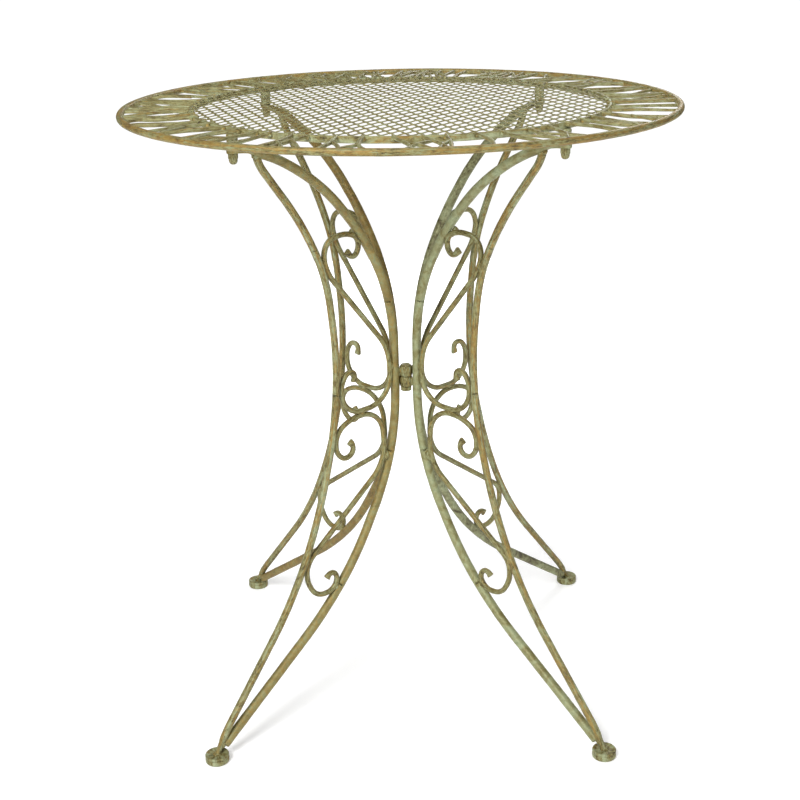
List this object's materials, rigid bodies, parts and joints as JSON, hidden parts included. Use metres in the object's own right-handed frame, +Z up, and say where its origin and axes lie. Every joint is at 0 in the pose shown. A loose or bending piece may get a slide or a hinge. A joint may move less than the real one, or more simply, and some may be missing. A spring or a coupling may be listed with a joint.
{
  "type": "bistro table",
  "caption": "Round bistro table with an expanded-metal top in a twig border, on crossed scrollwork rod legs that fold together round a centre pivot.",
  "frame": {"origin": "on the floor, on the vertical axis of the centre pivot", "axes": "+Z up along the pivot axis; -Y towards the front; the legs point along the diagonals between X and Y"},
  "size_m": [0.6499, 0.65, 0.745],
  "materials": {
    "green_patina_iron": "matt brushed verdigris over olive and rust",
    "rusty_olive_iron": "matt olive and golden rust with green patina",
    "rusted_fastener": "dull weathered steel with brown staining"
  },
  "bodies": {
    "main_frame": {"leg_bar_front_left": "green_patina_iron", "brace_bar_front_left": "green_patina_iron", "upper_scroll_front_left": "green_patina_iron", "lower_scroll_front_left": "green_patina_iron", "foot_front_left": "green_patina_iron", "leg_bar_rear_right": "green_patina_iron", "brace_bar_rear_right": "green_patina_iron", "upper_scroll_rear_right": "green_patina_iron", "lower_scroll_rear_right": "green_patina_iron", "foot_rear_right": "green_patina_iron", "cap_nuts_main": "rusted_fastener", "upper_knuckle": "green_patina_iron", "pivot_pin": "rusted_fastener", "pivot_nut": "rusted_fastener"},
    "swing_frame": {"leg_bar_front_right": "green_patina_iron", "brace_bar_front_right": "green_patina_iron", "upper_scroll_front_right": "green_patina_iron", "lower_scroll_front_right": "green_patina_iron", "foot_front_right": "green_patina_iron", "leg_bar_rear_left": "green_patina_iron", "brace_bar_rear_left": "green_patina_iron", "upper_scroll_rear_left": "green_patina_iron", "lower_scroll_rear_left": "green_patina_iron", "foot_rear_left": "green_patina_iron", "cap_nuts_swing": "rusted_fastener", "lower_knuckle": "green_patina_iron"},
    "top": {"rim_ring": "rusty_olive_iron", "inner_hoop": "green_patina_iron", "mesh_panel": "rusty_olive_iron", "twig_rods": "rusty_olive_iron", "hanger_bosses": "green_patina_iron", "mounting_studs": "rusted_fastener"}
  },
  "joints": [
    {"name": "base_fold", "type": "hinge", "parent": "main_frame", "child": "swing_frame", "pos_m": [0, 0, 0.407], "axis": [0, 0, -1], "range_deg": [0, 85]},
    {"name": "top_lift", "type": "slide", "parent": "main_frame", "child": "top", "axis": [0, 0, 1], "range_m": [0, 0.12]}
  ]
}
